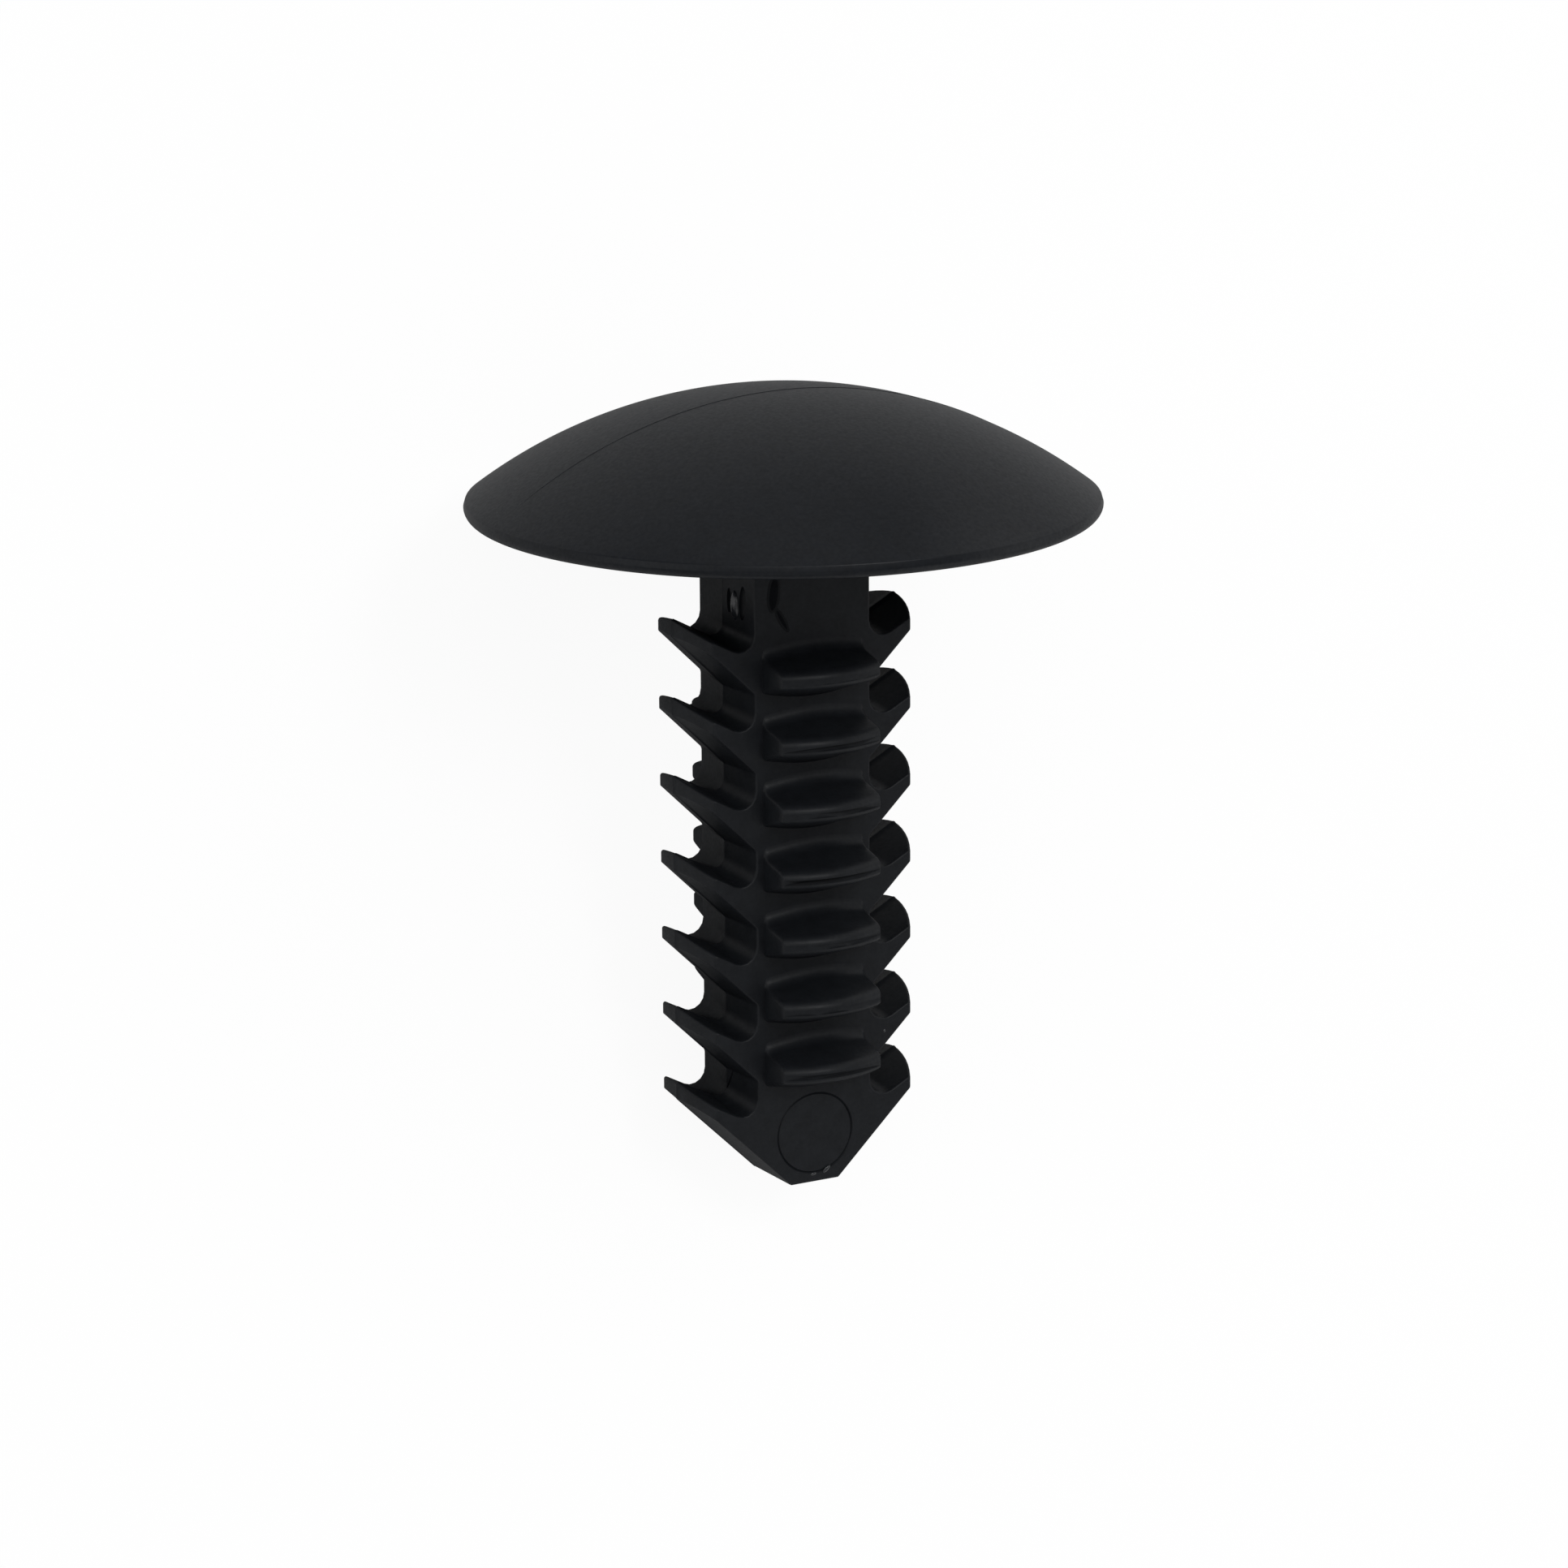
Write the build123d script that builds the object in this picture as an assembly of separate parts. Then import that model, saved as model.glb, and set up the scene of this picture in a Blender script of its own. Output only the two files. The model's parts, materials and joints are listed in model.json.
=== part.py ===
from build123d import *
import os
from math import asin, atan2, cos, degrees, hypot, pi, radians, sin, tan

# Push rivet: a one-piece panel fastener, moulded in black nylon between two mould halves.
# A low dome head covers the hole. The shank's barbs and ledges fold in as it is pushed through
# the panels, spring out behind them and hold it there. All sizes are in millimetres and degrees.
#
# The rivet is modelled upright: the head's flat seat is z = 0, the shank hangs below it, and the
# mould parts on the plane y = 0. Sizes marked "parted" are measured on that plane, where every
# drafted face stands furthest out. Last, the rivet is laid on its side, as it comes to rest.

# Head
head_diameter = 18.0
head_height = 3.42
rim_round = 0.25  # between the seat and the rim's widest line

# Shank core
core_width = 3.90  # parted, across the two side walls
shank_depth = 3.45  # from the front face to the rear face
draft_angle = 4.4  # of every shank face that is drawn out of the mould
neck_round = 0.20  # where the core meets the seat

# Side barbs, a row on the left and a row on the right
barb_count = 7
barb_pitch = 2.27
barb_span = 7.13  # across the ends of the barbs
barb_drop = 2.72  # parted, from the seat down to the first barb's end
barb_end_height = 0.53  # parted
barb_top_slope = 28.5
barb_under_slope = 44.6
pocket_round = 0.33  # parted, where a barb's top meets the core

# Ledges, a row on the front and a row on the rear
ledge_count = 7
ledge_pitch = 1.92
ledge_span = 6.46  # across the front and rear lips
ledge_inset = 0.22  # from the core's edge to the ledge's side, at the core's face
ledge_side_draft = 1.0
ledge_drop = 3.98  # from the seat down to the first lip
lip_height = 0.46
lip_bevel = 0.10
ledge_top_slope = 13.0
ledge_under_slope = 20.0

# Tip, where the last barbs run together, and the round mark of the ejector pin on its front
tip_width = 1.64  # parted
tip_round = 0.20  # parted
pin_mark_diameter = 2.45
pin_mark_depth = 0.05
pin_mark_rise = 1.48  # from the tip's end to the middle of the mark

# Places that several pieces share
head_radius = head_diameter / 2
barb_reach = barb_span / 2
ledge_reach = ledge_span / 2
core_reach = core_width / 2
tip_reach = tip_width / 2
face_depth = shank_depth / 2
face_inset = face_depth * tan(radians(draft_angle))
joint_height = head_height / 2  # how far the core runs up inside the head
last_barb = barb_count - 1
last_ledge = ledge_count - 1


def barb_top(barb, x):
    """Height of a side barb's top on the parting plane, x from the middle."""
    end = -barb_drop - barb * barb_pitch
    return end - (barb_reach - x) * tan(radians(barb_top_slope))


def barb_under(barb, x):
    """Height of a side barb's underside on the parting plane, x from the middle."""
    end = -barb_drop - barb * barb_pitch - barb_end_height
    return end - (barb_reach - x) * tan(radians(barb_under_slope))


def ledge_top(y):
    """Height of the first ledge's top, y from the middle."""
    return -ledge_drop + (ledge_reach - y) * tan(radians(ledge_top_slope))


def ledge_under(y):
    """Height of the first ledge's underside, y from the middle."""
    return -ledge_drop - lip_height - (ledge_reach - y) * tan(radians(ledge_under_slope))


def dome_head():
    """The head: a flat seat, a rim rounded below and bevelled above, and a dome."""
    rim_x = head_radius - rim_round
    rise = head_height - rim_round
    dome_radius = (rim_x**2 + rise**2 - rim_round**2) / (2 * (rise - rim_round))
    dome_z = head_height - dome_radius
    lean = atan2(rim_x, rim_round - dome_z)

    def on_dome(angle):
        return dome_radius * sin(angle), dome_z + dome_radius * cos(angle)

    seat = Line((0, 0), (rim_x, 0))
    rim = RadiusArc(seat @ 1, (head_radius, rim_round), -rim_round)
    bevel = Line(rim @ 1, on_dome(lean))
    dome = ThreePointArc(bevel @ 1, on_dome(lean / 2), (0, head_height))
    axis = Line(dome @ 1, seat @ 0)
    return revolve(Plane.XZ * make_face(seat + rim + bevel + dome + axis), Axis.Z)


def nearest_corners(face, places):
    """The face's corners that lie nearest these places."""
    return [face.vertices().sort_by_distance(place)[0] for place in places]


def shank_outline():
    """Front view of the core, both rows of barbs and the tip, on the parting plane."""
    past_end = barb_reach + 2 * face_inset
    right = [(core_reach, joint_height)]
    for barb in range(barb_count):
        right += [(x, barb_top(barb, x)) for x in (core_reach, past_end)]
        right += [(x, barb_under(barb, x)) for x in (past_end, core_reach)]
    tip = (tip_reach, barb_under(last_barb, tip_reach))
    right[-1] = tip
    left = [(-x, z) for x, z in reversed(right)]
    outline = make_face(Polyline(*right, *left, close=True))

    pockets = [
        (side * core_reach, barb_top(barb, core_reach))
        for barb in range(barb_count)
        for side in (-1, 1)
    ]
    outline = fillet(nearest_corners(outline, pockets), pocket_round)
    return fillet(nearest_corners(outline, [tip, (-tip[0], tip[1])]), tip_round)


def shank():
    """Core and side barbs: drafted both ways from the parting plane, with ends cut to a circle."""
    front = extrude(Plane.XZ * shank_outline(), amount=face_depth, taper=draft_angle)
    body = front + mirror(front, about=Plane.XZ)
    return body & Cylinder(barb_reach, 4 * abs(body.bounding_box().min.Z))


def ledge():
    """The first ledge of the rear row: a turned ring with a bevelled lip, cut to its plan."""
    inner = face_depth / 2
    profile = make_face(
        Polyline(
            (inner, ledge_top(inner)),
            (ledge_reach, ledge_top(ledge_reach)),
            (ledge_reach, ledge_under(ledge_reach)),
            (inner, ledge_under(inner)),
            close=True,
        )
    )
    lip = profile.vertices().sort_by(Axis.X)[-2:]
    ring = revolve(Plane.YZ * chamfer(lip, lip_bevel), Axis.Z)

    half_root = core_reach - face_inset - ledge_inset
    side = tan(radians(ledge_side_draft))
    half_inner = half_root + (face_depth - inner) * side
    half_lip = half_root - (ledge_reach - face_depth) * side
    plan = make_face(
        Polyline(
            (half_inner, inner),
            (half_lip, ledge_reach),
            (-half_lip, ledge_reach),
            (-half_inner, inner),
            close=True,
        )
    )
    return ring & extrude(plan, amount=2 * ledge_drop, both=True)


def pin_mark():
    """The shallow round mark that the ejector pin leaves on the front of the tip."""
    middle = barb_under(last_barb, tip_reach) + face_inset + pin_mark_rise
    across = Plane(origin=(0, -face_depth, middle), z_dir=(0, -1, 0))
    return across * Cylinder(pin_mark_diameter / 2, 2 * pin_mark_depth)


def upright_rivet():
    """The whole moulding, with its head up."""
    body = dome_head() + shank()
    seat = body.faces().filter_by(Axis.Z).sort_by(SortBy.AREA)[-1]
    body = fillet(seat.inner_wires()[0].edges(), neck_round)
    rear = [Pos(0, 0, -step * ledge_pitch) * ledge() for step in range(ledge_count)]
    front = [mirror(piece, about=Plane.XZ) for piece in rear]
    return body + rear + front - pin_mark()


def laid_down(rivet):
    """The rivet on its back, on its rim and on the last rear lip, with the head towards +Y."""
    lip_y = ledge_reach
    lip_z = ledge_under(ledge_reach) - last_ledge * ledge_pitch + lip_bevel
    run, rise = head_radius - rim_round - lip_y, rim_round - lip_z
    tilt = atan2(run, rise) + asin(rim_round / hypot(run, rise))

    lying = rivet.rotate(Axis.X, degrees(tilt - pi / 2))
    box = lying.bounding_box()
    return Pos(-box.center().X, -box.center().Y, -box.min.Z) * lying


if __name__ == "__main__":
    os.makedirs("parts", exist_ok=True)
    export_step(laid_down(upright_rivet()), "parts/push_rivet.step")
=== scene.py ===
import json
from math import asin, cos, pi, radians, sin, sqrt, tan

import bmesh
import bpy
from mathutils import Matrix, Vector


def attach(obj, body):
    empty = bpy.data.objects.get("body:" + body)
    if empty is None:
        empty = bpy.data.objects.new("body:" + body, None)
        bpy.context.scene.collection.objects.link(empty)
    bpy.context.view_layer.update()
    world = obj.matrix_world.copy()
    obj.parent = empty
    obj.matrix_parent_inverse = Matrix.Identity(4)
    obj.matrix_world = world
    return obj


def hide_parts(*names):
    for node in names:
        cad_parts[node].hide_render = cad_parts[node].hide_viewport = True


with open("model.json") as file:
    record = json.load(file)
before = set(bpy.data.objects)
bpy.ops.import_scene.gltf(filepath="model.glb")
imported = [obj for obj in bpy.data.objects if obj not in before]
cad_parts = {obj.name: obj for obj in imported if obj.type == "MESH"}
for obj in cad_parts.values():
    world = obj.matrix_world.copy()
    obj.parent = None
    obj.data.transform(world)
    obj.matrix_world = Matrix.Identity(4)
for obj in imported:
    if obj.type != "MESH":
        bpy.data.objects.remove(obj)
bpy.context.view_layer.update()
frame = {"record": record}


# ---------------------------------------------------------------- Head
# The low dome that covers the hole, moulded in black nylon in one with the shank. It is turned
# about the rivet's axis: a flat seat, a rim rounded underneath, a narrow band up its side, a small
# round brow and one arc over the top.

MM = 0.001
mounts = {m["name"]: m for m in frame["record"]["mounts"]}
seat_middle = Vector(mounts["shank"]["pos_m"])
down_the_shank = Vector(mounts["shank"]["axis"])
sideways = (Vector(mounts["seat"]["pos_m"]) - seat_middle).normalized()
backwards = sideways.cross(down_the_shank).normalized()

# Every piece is made in the rivet's own millimetres: head up, seat at z = 0, and the two halves of
# the mould parting on y = 0. This matrix takes it from there to the place where the rivet lies.
as_it_lies = Matrix((sideways, backwards, -down_the_shank)).transposed() * MM
as_it_lies = Matrix.Translation(seat_middle) @ as_it_lies.to_4x4()


def moulded_grain():
    """Shader group: the faint mottle and fine grain that a spark-finished mould leaves."""
    group = bpy.data.node_groups.new("moulded grain", "ShaderNodeTree")
    socket = group.interface.new_socket
    socket("Colour", in_out="INPUT", socket_type="NodeSocketColor")
    for name in ("Grain", "Mottle", "Least Skin", "Most Skin"):
        socket(name, in_out="INPUT", socket_type="NodeSocketFloat")
    socket("Colour", in_out="OUTPUT", socket_type="NodeSocketColor")
    for name in ("Skin", "Height"):
        socket(name, in_out="OUTPUT", socket_type="NodeSocketFloat")
    given = group.nodes.new("NodeGroupInput")
    result = group.nodes.new("NodeGroupOutput")
    where = group.nodes.new("ShaderNodeTexCoord")
    link = group.links.new

    grain = group.nodes.new("ShaderNodeTexNoise")
    grain.inputs["Detail"].default_value = 4
    mottle = group.nodes.new("ShaderNodeTexNoise")
    mottle.inputs["Detail"].default_value = 2
    for noise, size in ((grain, "Grain"), (mottle, "Mottle")):
        link(where.outputs["Object"], noise.inputs["Vector"])
        link(given.outputs[size], noise.inputs["Scale"])
    link(grain.outputs["Fac"], result.inputs["Height"])

    skin = group.nodes.new("ShaderNodeMapRange")
    skin.inputs["From Min"].default_value = 0.3
    skin.inputs["From Max"].default_value = 0.7
    link(grain.outputs["Fac"], skin.inputs["Value"])
    link(given.outputs["Least Skin"], skin.inputs["To Min"])
    link(given.outputs["Most Skin"], skin.inputs["To Max"])
    link(skin.outputs["Result"], result.inputs["Skin"])

    shade = group.nodes.new("ShaderNodeMapRange")
    shade.inputs["From Min"].default_value = 0.3
    shade.inputs["From Max"].default_value = 0.7
    shade.inputs["To Min"].default_value = 0.86
    shade.inputs["To Max"].default_value = 1.14
    link(mottle.outputs["Fac"], shade.inputs["Value"])
    tint = group.nodes.new("ShaderNodeVectorMath")
    tint.operation = "SCALE"
    link(given.outputs["Colour"], tint.inputs[0])
    link(shade.outputs["Result"], tint.inputs["Scale"])
    link(tint.outputs["Vector"], result.inputs["Colour"])
    return group


grain_group = moulded_grain()


def nylon(name, colour, skin, roughness):
    """Black nylon: matt inside, under a resin skin whose gloss the mould's grain breaks up."""
    material = bpy.data.materials.new(name)
    material.use_nodes = True
    tree = material.node_tree
    shader = tree.nodes["Principled BSDF"]
    shader.inputs["Roughness"].default_value = 0.9
    shader.inputs["Specular IOR Level"].default_value = 0
    shader.inputs["Coat Roughness"].default_value = roughness
    grain = tree.nodes.new("ShaderNodeGroup")
    grain.node_tree = grain_group
    grain.inputs["Colour"].default_value = (*colour, 1)
    grain.inputs["Grain"].default_value = 9000
    grain.inputs["Mottle"].default_value = 2500
    grain.inputs["Least Skin"].default_value = 0.88 * skin
    grain.inputs["Most Skin"].default_value = 1.12 * skin
    bump = tree.nodes.new("ShaderNodeBump")
    bump.inputs["Strength"].default_value = 0.12
    bump.inputs["Distance"].default_value = 0.02 * MM
    tree.links.new(grain.outputs["Colour"], shader.inputs["Base Color"])
    tree.links.new(grain.outputs["Skin"], shader.inputs["Coat Weight"])
    tree.links.new(grain.outputs["Height"], bump.inputs["Height"])
    for normal in ("Normal", "Coat Normal"):
        tree.links.new(bump.outputs["Normal"], shader.inputs[normal])
    return material


def mesh_of(shape, name):
    """The mesh of this bmesh shape, with its faces turned outwards."""
    bmesh.ops.recalc_face_normals(shape, faces=shape.faces)
    mesh = bpy.data.meshes.new(name)
    shape.to_mesh(mesh)
    shape.free()
    return mesh


def lathed(profile, steps):
    """The closed shape that this line of (radius, height) corners sweeps round the z axis."""
    shape = bmesh.new()
    points = [shape.verts.new((x, 0, z)) for x, z in profile]
    edges = [shape.edges.new(pair) for pair in zip(points, points[1:])]
    bmesh.ops.spin(
        shape, geom=points + edges, axis=(0, 0, 1), angle=2 * pi, steps=steps, use_merge=True,
    )
    same_point = 1e-5
    bmesh.ops.remove_doubles(shape, verts=shape.verts, dist=same_point)
    return shape


def finished(name, mesh, material, corner=40):
    """A piece of the moulding: smooth up to the corner angle, with its flats shaded flat."""
    mesh.materials.clear()
    mesh.materials.append(material)
    mesh.transform(as_it_lies)
    mesh.shade_smooth()
    mesh.set_sharp_from_angle(angle=radians(corner))
    piece = bpy.data.objects.new(name, mesh)
    bpy.context.scene.collection.objects.link(piece)
    shading = piece.modifiers.new("flats stay flat", "WEIGHTED_NORMAL")
    shading.keep_sharp = True
    shading.weight = 100
    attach(piece, "root")
    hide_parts("push_rivet")
    return piece


head_reach, head_height, dome_radius, rim_round = 8.984, 3.42, 14.77, 0.25
brow_reach, brow_round = 8.95, 0.08
seat_steps, rim_steps, brow_steps, dome_steps, head_turns = 6, 8, 5, 40, 256
dome_z = head_height - dome_radius
brow_x, seat_reach = brow_reach - brow_round, head_reach - rim_round
rim_lean = asin(brow_x / (dome_radius - brow_round))
brow_z = dome_z + (dome_radius - brow_round) * cos(rim_lean)

head_profile = [(seat_reach * step / seat_steps, 0) for step in range(seat_steps + 1)]
for step in range(1, rim_steps + 1):
    angle = -pi / 2 + pi / 2 * step / rim_steps
    head_profile.append((seat_reach + rim_round * cos(angle), rim_round + rim_round * sin(angle)))
for step in range(brow_steps + 1):
    angle = (pi / 2 - rim_lean) * step / brow_steps
    head_profile.append((brow_x + brow_round * cos(angle), brow_z + brow_round * sin(angle)))
for step in range(1, dome_steps + 1):
    angle = rim_lean * (1 - step / dome_steps)
    head_profile.append((dome_radius * sin(angle), dome_z + dome_radius * cos(angle)))

# The head is the same nylon as the shank, drawn darker and bluer: its colour is painted shade.
head_nylon_drawn_darker = nylon("black_nylon_head", (0.0024, 0.0033, 0.0050), 0.32, 0.38)
finished("head", mesh_of(lathed(head_profile, head_turns), "head"), head_nylon_drawn_darker, corner=50)


# ---------------------------------------------------------------- Shank
# The flat core with its two rows of barbs and the blunt tip, moulded in one with the head. Each
# half draws out of the mould from the parting plane, so every outline shrinks towards the two
# faces, and the barbs' ends are turned to one circle.

shank_nylon = nylon("black_nylon_shank", (0.0064, 0.0072, 0.0086), 0.235, 0.42)
core_reach, face_depth, draft, joint_height = 1.95, 1.725, radians(4.4), 1.2
barb_count, barb_pitch, barb_reach, barb_drop, barb_end = 7, 2.27, 3.565, 2.72, 0.53
top_slope, under_slope = radians(28.5), radians(44.6)
pocket_round, root_round, edge_round, face_round = 0.33, 0.06, 0.06, 0.06
tip_reach, tip_round = 0.82, 0.20
least_edge_round, least_tip_round = 0.004, 0.05


def barb_top(barb, x, inset):
    """Height of a barb's top, x from the middle, where the outline is taken in by this inset."""
    end = -barb_drop - barb * barb_pitch
    return end - (barb_reach - x) * tan(top_slope) - inset / cos(top_slope)


def barb_under(barb, x, inset):
    """Height of a barb's underside, x from the middle, taken in in the same way."""
    end = -barb_drop - barb * barb_pitch - barb_end
    return end - (barb_reach - x) * tan(under_slope) + inset / cos(under_slope)


def rounded(corners, steps=5):
    """The closed outline through these (x, z, radius) corners, each one an arc of equal steps."""
    outline = []
    for before, here, after in zip(corners[-1:] + corners, corners, corners[1:] + corners[:1]):
        middle = Vector(here[:2])
        to, on = (Vector(before[:2]) - middle), (Vector(after[:2]) - middle)
        half = to.angle(on) / 2
        reach = here[2] / tan(half)
        centre = middle + (to.normalized() + on.normalized()).normalized() * here[2] / sin(half)
        start, end = middle + to.normalized() * reach, middle + on.normalized() * reach
        sweep = (start - centre).angle_signed(end - centre)
        for step in range(steps + 1):
            spoke = Matrix.Rotation(-sweep * step / steps, 2) @ (start - centre)
            outline.append(centre + spoke)
    return outline


def wrap(shape, rings):
    """A closed surface through these rings of as many corners each, with a flat cap at each end."""
    for near, far in zip(rings, rings[1:]):
        for at in range(len(near)):
            after = (at + 1) % len(near)
            shape.faces.new((near[at], near[after], far[after], far[at]))
    shape.faces.new(rings[0])
    shape.faces.new(reversed(rings[-1]))


def shank_section(y, extra):
    """The shank's outline at depth y, taken in by its draft and by this much extra."""
    inset = abs(y) * tan(draft) + extra
    end_x = sqrt(barb_reach**2 - y**2) - extra
    fine = max(edge_round - extra, least_edge_round)
    core_x = core_reach - inset
    right = [(core_x, joint_height, fine)]
    for barb in range(barb_count):
        right.append((core_x, barb_top(barb, core_x, inset), pocket_round + inset))
        right.append((end_x, barb_top(barb, end_x, inset), fine))
        right.append((end_x, barb_under(barb, end_x, inset), fine))
        right.append((core_x, barb_under(barb, core_x, inset), root_round + max(inset, 0)))
    tip_z = barb_under(barb_count - 1, tip_reach, 0) + inset
    tip_x = tip_reach - inset * tan(under_slope / 2)
    right[-1] = (tip_x, tip_z, max(tip_round - inset, least_tip_round))
    left = [(-x, z, radius) for x, z, radius in reversed(right)]
    return rounded(right + left)


# The sections run from face to face: a faint seam on the parting plane, the drafted flanks, and a
# small round into each face.
seam_width, seam_height = 0.03, 0.012
flank_share, flank_steps, round_steps = 0.953, 6, 4
half_levels = [(seam_width / 2, -seam_height), (seam_width, 0)]
for step in range(1, flank_steps + 1):
    half_levels.append((face_depth * flank_share * step / flank_steps, 0))
for step in range(1, round_steps + 1):
    angle = pi / 2 * step / round_steps
    half_levels.append((face_depth - face_round * (1 - sin(angle)), face_round * (1 - cos(angle))))
levels = [(-y, extra) for y, extra in reversed(half_levels)] + half_levels

shape = bmesh.new()
rings = []
for y, extra in levels:
    rings.append([shape.verts.new((p.x, y, p.y)) for p in shank_section(y, extra)])
wrap(shape, rings)
shank_mesh = mesh_of(shape, "shank")


# The ejector pin leaves a shallow round mark on the front of the tip, with a groove round its edge.
pin_radius, pin_depth, groove_width, groove_depth = 1.225, 0.015, 0.07, 0.05
pin_rise, pin_length, pin_turns = 1.48, 0.2, 128
tip_z = barb_under(barb_count - 1, tip_reach, 0) + face_depth * tan(draft)
pin_z = tip_z + pin_rise
pin_profile = [
    (0, pin_depth),
    (pin_radius - groove_width, pin_depth),
    (pin_radius - groove_width / 2, groove_depth),
    (pin_radius, 0),
    (pin_radius, -pin_length),
    (0, -pin_length),
]
shape = lathed(pin_profile, pin_turns)
bmesh.ops.transform(
    shape, verts=shape.verts,
    matrix=Matrix.Translation((0, -face_depth, pin_z)) @ Matrix.Rotation(-pi / 2, 4, "X"),
)
pin_tool = mesh_of(shape, "ejector_pin")

# The tip is trimmed a little askew where the gate was cut off: shorter at the rear. The cutter is
# a hair deeper than the shank, so that it cuts right through both faces.
trim_rise, trim_stretch = 0.25, 1.0001
shape = bmesh.new()
bmesh.ops.create_cube(shape, size=2 * face_depth)
for corner in shape.verts:
    top = tip_z + (trim_rise if corner.co.y > 0 else 0)
    z = top if corner.co.z > 0 else tip_z - face_depth
    corner.co = (corner.co.x, corner.co.y * trim_stretch, z)
trim_tool = mesh_of(shape, "gate_cutter")


def cut(mesh, tools):
    """The mesh with these tools' shapes cut out of it."""
    blank = bpy.data.objects.new("blank", mesh)
    bpy.context.scene.collection.objects.link(blank)
    for tool in tools:
        cutter = bpy.data.objects.new(tool.name, tool)
        bpy.context.scene.collection.objects.link(cutter)
        press = blank.modifiers.new(tool.name, "BOOLEAN")
        press.operation = "DIFFERENCE"
        press.solver = "EXACT"
        press.object = cutter
    bpy.context.view_layer.update()
    done = blank.evaluated_get(bpy.context.evaluated_depsgraph_get())
    result = bpy.data.meshes.new_from_object(done)
    result.name = mesh.name
    for modifier in blank.modifiers:
        bpy.data.objects.remove(modifier.object)
    bpy.data.objects.remove(blank)
    return result


def pebble(shape, middle, size, turn=0, along="Y"):
    """A smooth oval lump. size is its x, y and z, and turn leans it about the axis, in degrees."""
    place = Matrix.Translation(middle) @ Matrix.Rotation(radians(turn), 4, along)
    place = place @ Matrix.Diagonal((*[extent / 2 for extent in size], 1))
    bmesh.ops.create_icosphere(shape, subdivisions=3, radius=1, matrix=place)


# Small dents in the left wall: two slits beside the flash on the neck, and one in the last pocket.
marks = [
    ("slit", (-1.90, -0.36, -2.32), (0.34, 0.24, 0.72), 0),
    ("front_slit", (-1.84, -1.07, -2.28), (0.36, 0.34, 1.00), 4),
    ("root_slit", (-1.94, -0.18, -16.50), (0.10, 0.07, 0.95), 28),
]
mark_tools = []
for mark, middle, size, lean in marks:
    shape = bmesh.new()
    pebble(shape, middle, size, lean, along="X")
    mark_tools.append(mesh_of(shape, mark))

shank_mesh = cut(shank_mesh, [pin_tool, trim_tool] + mark_tools)
finished("shank", shank_mesh, shank_nylon)

# A dark streak on the front of the neck, laid on its face as two thin dark lenses: painted shade,
# with a less dark border round it that is softer painted shade.
# Both colours below are painted shade: the darker one for the streak, the lighter one for its
# border.
neck_shade_border_nylon = nylon("black_nylon_scuffed", (0.0042, 0.0048, 0.0058), 0.15, 0.5)
neck_shade_nylon = nylon("black_nylon_torn", (0.0024, 0.0028, 0.0036), 0.07, 0.6)
for mark, material, wider, proud in (
    ("drag_mark_edge", neck_shade_border_nylon, 0.13, 0.014),
    ("drag_mark", neck_shade_nylon, 0, 0.024),
):
    shape = bmesh.new()
    pebble(shape, (-1.22, -face_depth, -1.95), (0.30 + wider, proud, 0.98 + wider), turn=6)
    pebble(shape, (-0.97, -face_depth, -2.72), (0.12 + wider, proud, 0.72 + wider), turn=-30)
    finished(mark, mesh_of(shape, mark), material, corner=80)


# ---------------------------------------------------------------- Neck
# The small hollow round that joins the core to the seat, so that the head doesn't snap off there.

neck_round, neck_steps = 0.20, 8
neck_sunk, neck_overlap, flank_bend = 0.03, 0.05, 0.5


def neck_ring(shape, out, z):
    """A ring of corners round the core, this far out from its walls."""
    side, bend = core_reach - face_depth * tan(draft) + out, face_round + out
    front, rear = -face_depth - out, face_depth + out
    right = [(side, rear, bend), (core_reach + out, 0, flank_bend), (side, front, bend)]
    left = [(-x, y, radius) for x, y, radius in reversed(right)]
    return [shape.verts.new((p.x, p.y, z)) for p in rounded(right + left)]


shape = bmesh.new()
rings = [neck_ring(shape, -neck_sunk, -neck_round)]
for step in range(neck_steps + 1):
    angle = pi / 2 * step / neck_steps
    out, drop = neck_round * (1 - cos(angle)), neck_round * (1 - sin(angle))
    rings.append(neck_ring(shape, out, -drop))
rings.append(neck_ring(shape, neck_round, neck_overlap))
wrap(shape, rings)
finished("neck", mesh_of(shape, "neck"), shank_nylon)


# ---------------------------------------------------------------- Ledges
# Seven cross ledges on the front and seven on the rear, of the same nylon. A ledge is a stretch of
# a turned ring: its top falls to the lip, its underside rises to it, and a hollow round blends its
# top into the core's face. The rows are laid out by Geometry Nodes.

ledge_count, ledge_pitch, ledge_reach, ledge_drop, lip_height = 7, 1.92, 3.23, 3.98, 0.46
ledge_top_slope, ledge_under_slope, side_draft = radians(13), radians(20), radians(1)
lip_round, lip_side_round, corner_round = 0.20, 0.05, 0.10
top_flare, side_flare, under_share = 0.28, 0.015, 0.6
root_inset, root_sunk, least_bend = 0.22, 0.2, 0.01
half_root = core_reach - face_depth * tan(draft) - root_inset
across, corner_steps, side_steps = 24, 5, 2
flare_steps, top_steps, lip_steps, settling_steps = 6, 5, 6, 3


def ledge_loop():
    """Stations round a ledge's section: the corner or edge they are on, and which way it faces."""
    stations = []
    for quarter, (side, on_top) in enumerate([(-1, 1), (1, 1), (1, 0), (-1, 0)]):
        first = (pi, pi / 2, 0, -pi / 2)[quarter]
        for step in range(corner_steps + 1):
            angle = first - pi / 2 * step / corner_steps
            stations.append((side, on_top, cos(angle), sin(angle)))
        if quarter in (0, 2):
            run = [(-1 + 2 * step / across) * (1 if on_top else -1) for step in range(1, across)]
            stations += [(share, on_top, 0, 1 if on_top else -1) for share in run]
        else:
            run = [step / side_steps for step in range(1, side_steps)]
            stations += [(side, share if side > 0 else 1 - share, side, 0) for share in run]
    return stations


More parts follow.
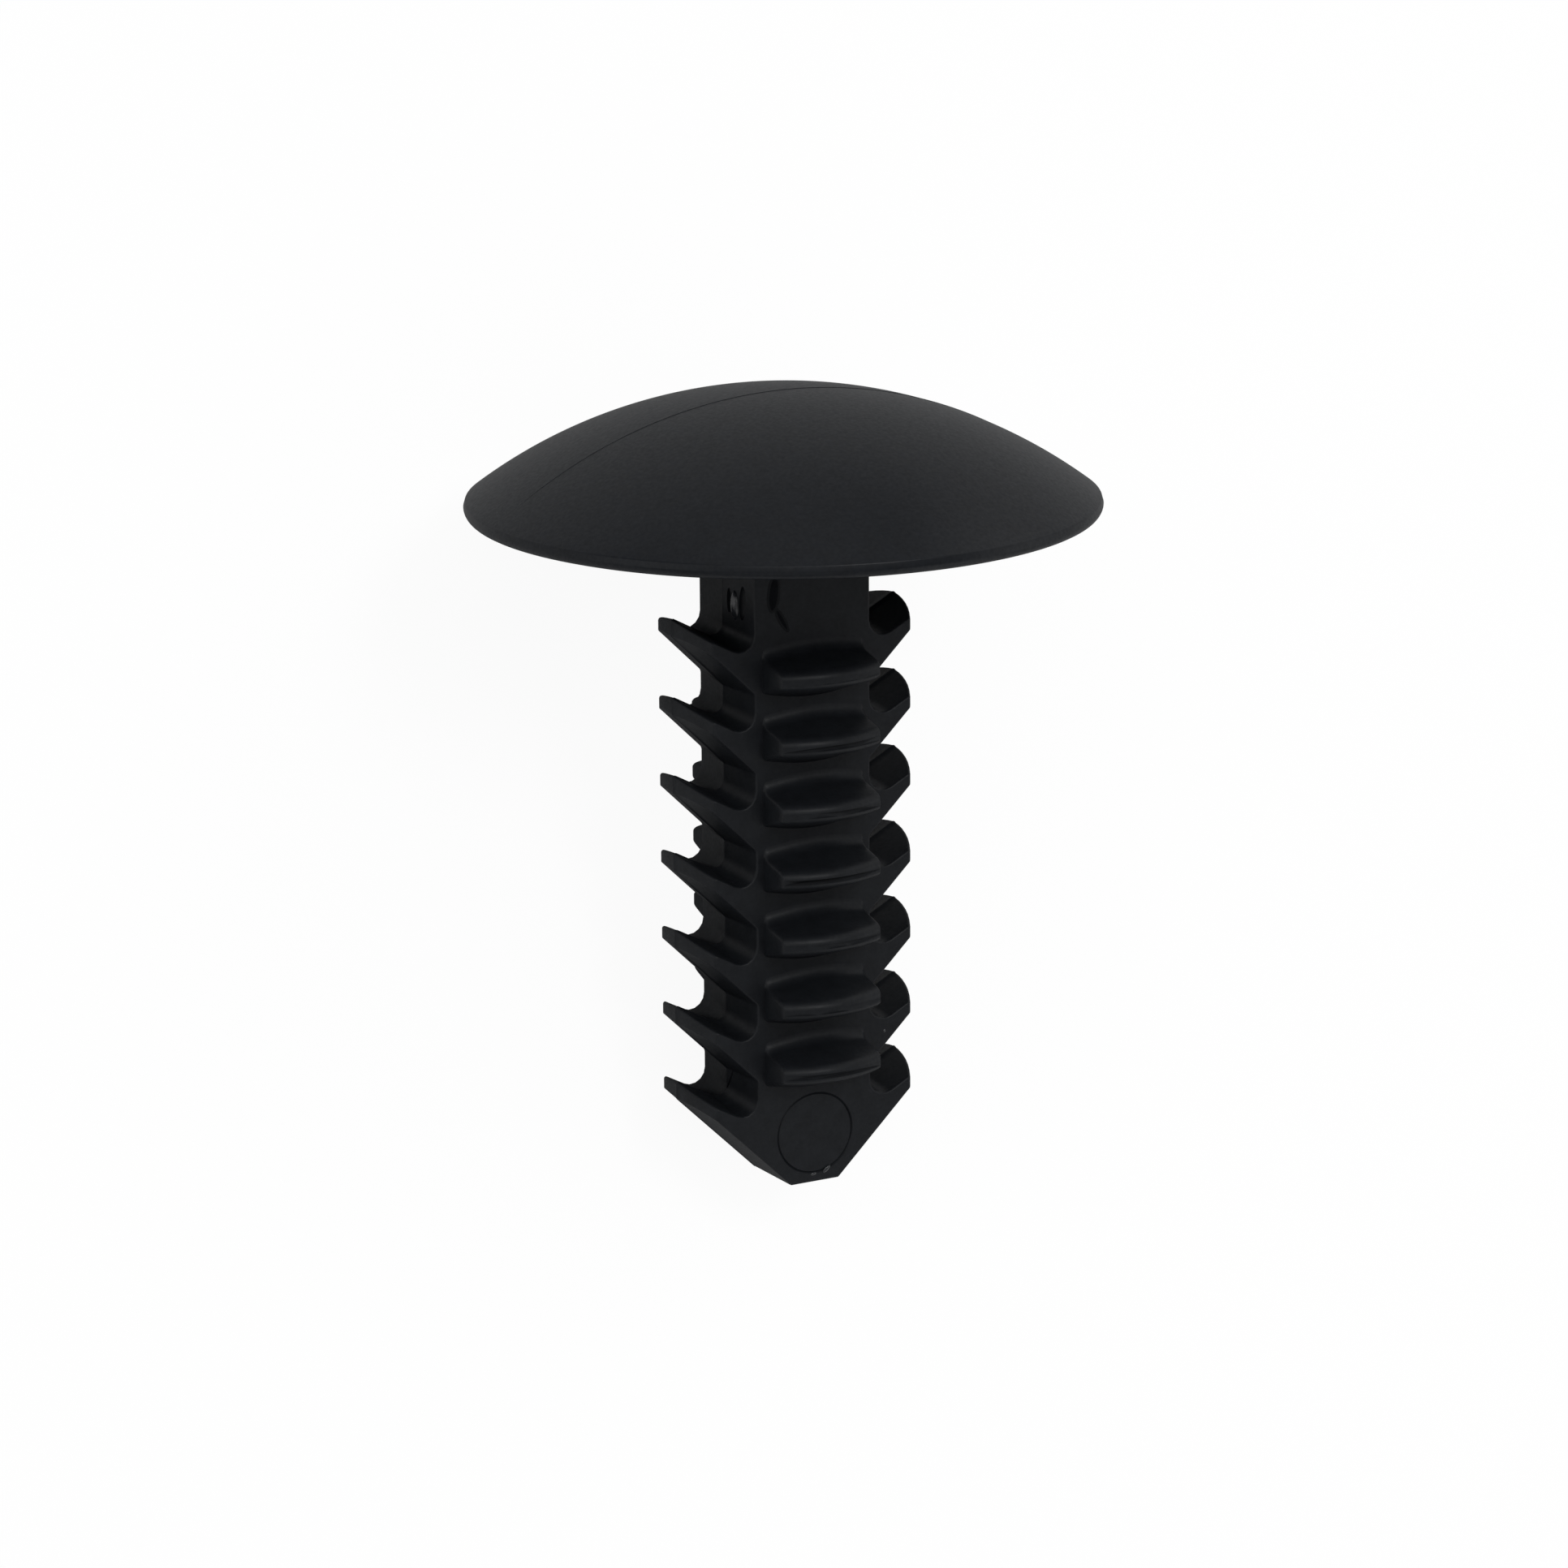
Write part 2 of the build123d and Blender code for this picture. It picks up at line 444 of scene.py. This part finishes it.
def ledge_ring(shape, depth_at, inset, side_inset, flare):
    """One ring round the ledge. depth_at gives y for an x, and flare, from 0 to 1, spreads it."""
    ring = []
    bend = max(corner_round - inset, least_bend)
    for share, height, face_x, face_z in ledge_loop():
        y = depth_at(0)
        for _ in range(settling_steps):
            half = half_root - (y - face_depth) * tan(side_draft) - side_inset - bend
            x = share * half + face_x * bend
            y = depth_at(x)
        away = sqrt(x * x + y * y)
        top = -ledge_drop + (ledge_reach - away) * tan(ledge_top_slope) - inset - bend
        low = -ledge_drop - lip_height - (ledge_reach - away) * tan(ledge_under_slope)
        low += inset * under_share + bend
        z = low + (top - low) * height + face_z * bend
        spread = flare * (top_flare if face_z > 0 else side_flare)
        ring.append(shape.verts.new((x + face_x * flare * side_flare, y, z + face_z * spread)))
    return ring


def on_circle(radius):
    """The depth y on a circle of this radius about the rivet's axis."""
    return lambda x: sqrt(radius**2 - x**2)


def at_depth(y):
    """The same depth y all the way across."""
    return lambda x: y


shape = bmesh.new()
rings = [ledge_ring(shape, at_depth(face_depth - root_sunk), 0, 0, 1)]
for step in range(flare_steps + 1):
    angle = pi / 2 * step / flare_steps
    out = top_flare * (1 - cos(angle))
    rings.append(ledge_ring(shape, at_depth(face_depth + out), 0, 0, 1 - sin(angle)))
start, stop = at_depth(face_depth + top_flare), on_circle(ledge_reach - lip_round)
for step in range(1, top_steps):
    share = step / top_steps
    rings.append(ledge_ring(shape, lambda x: (1 - share) * start(x) + share * stop(x), 0, 0, 0))
for step in range(lip_steps + 1):
    angle = pi / 2 * step / lip_steps
    out, taken = ledge_reach - lip_round * (1 - sin(angle)), 1 - cos(angle)
    rings.append(ledge_ring(shape, on_circle(out), lip_round * taken, lip_side_round * taken, 0))
wrap(shape, rings)
ledge = bpy.data.objects.new("ledge_pattern", mesh_of(shape, "ledge"))
bpy.context.scene.collection.objects.link(ledge)


def ledge_rows():
    """Node tree: a row of ledges down the rear, and the same row turned about to the front."""
    rows = bpy.data.node_groups.new("rows of ledges", "GeometryNodeTree")
    socket = rows.interface.new_socket
    inputs = {"Ledge": "Object", "Count": "Int", "Pitch": "Float", "Material": "Material"}
    for name, kind in inputs.items():
        socket(name, in_out="INPUT", socket_type="NodeSocket" + kind)
    socket("Geometry", in_out="OUTPUT", socket_type="NodeSocketGeometry")
    given = rows.nodes.new("NodeGroupInput")
    result = rows.nodes.new("NodeGroupOutput")
    downwards = rows.nodes.new("ShaderNodeMath")
    downwards.operation = "MULTIPLY"
    downwards.inputs[1].default_value = -1
    step_down = rows.nodes.new("ShaderNodeCombineXYZ")
    row = rows.nodes.new("GeometryNodeMeshLine")
    pattern = rows.nodes.new("GeometryNodeObjectInfo")
    rear_row = rows.nodes.new("GeometryNodeInstanceOnPoints")
    front_row = rows.nodes.new("GeometryNodeInstanceOnPoints")
    front_row.inputs["Rotation"].default_value = (0, 0, pi)
    both = rows.nodes.new("GeometryNodeJoinGeometry")
    real = rows.nodes.new("GeometryNodeRealizeInstances")
    dressed = rows.nodes.new("GeometryNodeSetMaterial")
    link = rows.links.new
    link(given.outputs["Pitch"], downwards.inputs[0])
    link(downwards.outputs[0], step_down.inputs["Z"])
    link(given.outputs["Count"], row.inputs["Count"])
    link(step_down.outputs[0], row.inputs["Offset"])
    link(given.outputs["Ledge"], pattern.inputs["Object"])
    for each in (rear_row, front_row):
        link(row.outputs["Mesh"], each.inputs["Points"])
        link(pattern.outputs["Geometry"], each.inputs["Instance"])
        link(each.outputs["Instances"], both.inputs["Geometry"])
    link(both.outputs["Geometry"], real.inputs["Geometry"])
    link(real.outputs["Geometry"], dressed.inputs["Geometry"])
    link(given.outputs["Material"], dressed.inputs["Material"])
    link(dressed.outputs["Geometry"], result.inputs["Geometry"])
    return rows


maker = bpy.data.objects.new("ledge_rows", bpy.data.meshes.new("ledge_rows"))
bpy.context.scene.collection.objects.link(maker)
layout = maker.modifiers.new("rows", "NODES")
layout.node_group = ledge_rows()
sockets = layout.node_group.interface.items_tree
socket_of = {item.name: item.identifier for item in sockets if item.in_out == "INPUT"}
layout[socket_of["Ledge"]] = ledge
layout[socket_of["Count"]] = ledge_count
layout[socket_of["Pitch"]] = ledge_pitch
layout[socket_of["Material"]] = shank_nylon
bpy.context.view_layer.update()
laid_out = maker.evaluated_get(bpy.context.evaluated_depsgraph_get())
ledges = bpy.data.meshes.new_from_object(laid_out)
ledges.name = "ledges"
for used in (maker, ledge):
    bpy.data.objects.remove(used)
finished("ledges", ledges, shank_nylon)


# ---------------------------------------------------------------- Flash
# What the mould lets out: a fine bead over the dome, where its halves meet, and, in glossier nylon
# given a lighter colour as painted highlight, a fin on the neck's left wall and crumbs: in the last
# left pocket, by the trimmed gate, on the last right barb but one and at the root of a ledge.

# The flash is the same nylon as the shank, drawn lighter: its colour is painted highlight.
flash_nylon_drawn_lighter = nylon("black_nylon_flash", (0.009, 0.010, 0.012), 0.8, 0.25)
bead_radius, bead_sunk, bead_steps, bead_sides = 0.018, 0.005, 96, 10
bead_end, bead_taper = 0.02, 4  # its radius at the rim, and its growth from there, as shares
shape = bmesh.new()
rings = []
for step in range(bead_steps + 1):
    lean_out = rim_lean * (-1 + 2 * step / bead_steps)
    radius = bead_radius * min(1, bead_end + bead_taper * (1 - abs(lean_out) / rim_lean))
    ring = []
    for side in range(bead_sides):
        angle = 2 * pi * side / bead_sides
        out = dome_radius - bead_sunk + radius * cos(angle)
        place = (out * sin(lean_out), radius * sin(angle), dome_z + out * cos(lean_out))
        ring.append(shape.verts.new(place))
    rings.append(ring)
wrap(shape, rings)
finished("parting_bead", mesh_of(shape, "parting_bead"), head_nylon_drawn_darker, corner=80)

shape = bmesh.new()
pebble(shape, (-1.86, -0.68, -2.40), (0.32, 0.34, 0.88), turn=-4, along="X")
pebble(shape, (-1.93, -0.10, -16.96), (0.14, 0.26, 0.12), turn=20, along="X")
pebble(shape, (-1.90, -0.50, -17.02), (0.14, 0.16, 0.26), turn=25, along="X")
pebble(shape, (-1.88, -0.72, -17.20), (0.12, 0.12, 0.16))
pebble(shape, (0.36, -1.73, -19.12), (0.30, 0.07, 0.13), turn=-38)
pebble(shape, (-0.07, -1.73, -19.20), (0.20, 0.06, 0.09), turn=-6)
pebble(shape, (2.27, -1.70, -15.24), (0.11, 0.09, 0.12))
pebble(shape, (1.26, -1.73, -7.49), (0.10, 0.05, 0.09))
finished("flash", mesh_of(shape, "flash"), flash_nylon_drawn_lighter, corner=80)


# ---------------------------------------------------------------- Floor
# A plain pale sheet under the rivet, white to the camera apart from the rivet's own faint shadow.

floor_reach, glow_share = 0.6, 0.93
shape = bmesh.new()
bmesh.ops.create_grid(shape, x_segments=1, y_segments=1, size=floor_reach)
floor = bpy.data.objects.new("floor", mesh_of(shape, "floor"))
bpy.context.scene.collection.objects.link(floor)
paper = bpy.data.materials.new("pale_paper")
paper.use_nodes = True
tree = paper.node_tree
paper_shader = tree.nodes["Principled BSDF"]
paper_shader.inputs["Base Color"].default_value = (0.8, 0.8, 0.8, 1)
paper_shader.inputs["Roughness"].default_value = 0.9
glow = tree.nodes.new("ShaderNodeEmission")
glow.inputs["Color"].default_value = (1, 1, 1, 1)
seen = tree.nodes.new("ShaderNodeLightPath")
share = tree.nodes.new("ShaderNodeMath")
share.operation = "MULTIPLY"
share.inputs[1].default_value = glow_share
blend = tree.nodes.new("ShaderNodeMixShader")
tree.links.new(seen.outputs["Is Camera Ray"], share.inputs[0])
tree.links.new(share.outputs[0], blend.inputs["Fac"])
tree.links.new(paper_shader.outputs[0], blend.inputs[1])
tree.links.new(glow.outputs[0], blend.inputs[2])
tree.links.new(blend.outputs[0], tree.nodes["Material Output"].inputs["Surface"])
floor.data.materials.append(paper)


# ---------------------------------------------------------------- Light and camera
# A soft studio: a pale room, broad lamps all round and a small key lamp beside the camera.

world = bpy.data.worlds.new("studio")
bpy.context.scene.world = world
world.use_nodes = True
tree = world.node_tree
room = tree.nodes["Background"]
room.inputs["Color"].default_value = (1, 1, 1, 1)
room.inputs["Strength"].default_value = 0.43
white = tree.nodes.new("ShaderNodeBackground")
white.inputs["Color"].default_value = (1, 1, 1, 1)
seen = tree.nodes.new("ShaderNodeLightPath")
blend = tree.nodes.new("ShaderNodeMixShader")
tree.links.new(seen.outputs["Is Camera Ray"], blend.inputs["Fac"])
tree.links.new(room.outputs[0], blend.inputs[1])
tree.links.new(white.outputs[0], blend.inputs[2])
tree.links.new(blend.outputs[0], tree.nodes["World Output"].inputs["Surface"])

# The camera stands to the left of the rivet's front, a little to the head's side of it.
swing, lift, lean = 0.4788, 0.2657, -0.0065
camera_distance, aim_right, aim_up = 150.709, -0.0351, 0.0046
frame_width, focal_length = 1932, 6515.05  # in pixels
middle_of_rivet = Vector((0, 0, -8))
back = Vector((-sin(swing) * cos(lift), -cos(swing) * cos(lift), sin(lift)))
right = Vector((cos(swing), -sin(swing), 0))
up = back.cross(right)
view_right = right * cos(lean) + up * sin(lean)
view_up = up * cos(lean) - right * sin(lean)
stand = middle_of_rivet + back * camera_distance + view_right * aim_right + view_up * aim_up
camera = bpy.data.objects.new("camera", bpy.data.cameras.new("camera"))
bpy.context.scene.collection.objects.link(camera)
camera.data.sensor_width = 36
camera.data.lens = camera.data.sensor_width * focal_length / frame_width
camera.data.clip_start, camera.data.clip_end = 0.01, 10
facing = as_it_lies.to_3x3().normalized() @ Matrix((view_right, view_up, back)).transposed()
camera.matrix_world = Matrix.Translation(as_it_lies @ stand) @ facing.to_4x4()
bpy.context.scene.camera = camera


def softbox(name, side, watts, size=0.25, distance=0.35):
    """A square lamp. side is its direction from the rivet in the camera's right, up and back."""
    lamp = bpy.data.objects.new(name, bpy.data.lights.new(name, "AREA"))
    bpy.context.scene.collection.objects.link(lamp)
    lamp.data.energy = watts
    lamp.data.size = size
    away = (facing @ Vector(side)).normalized()
    middle = as_it_lies @ middle_of_rivet
    aim = away.to_track_quat("Z", "Y").to_matrix().to_4x4()
    lamp.matrix_world = Matrix.Translation(middle + away * distance) @ aim


softbox("above", (0.0, 1.0, 0.35), 0.12)
softbox("upper_right", (1.0, 1.0, 0.0), 0.24)
softbox("right", (1.0, 0.0, 0.0), 0.22)
softbox("lower_right", (1.0, -1.0, 0.0), 0.22)
softbox("left", (-1.0, 0.0, 0.9), 0.22)
softbox("beside_the_camera", (0.0, 0.25, 1.0), 0.30)
softbox("below_the_camera", (0.0, -1.0, 1.0), 0.10)
softbox("key", (0.48, 0.30, 0.82), 0.36, size=0.10)

bpy.context.scene.view_settings.view_transform = "Standard"
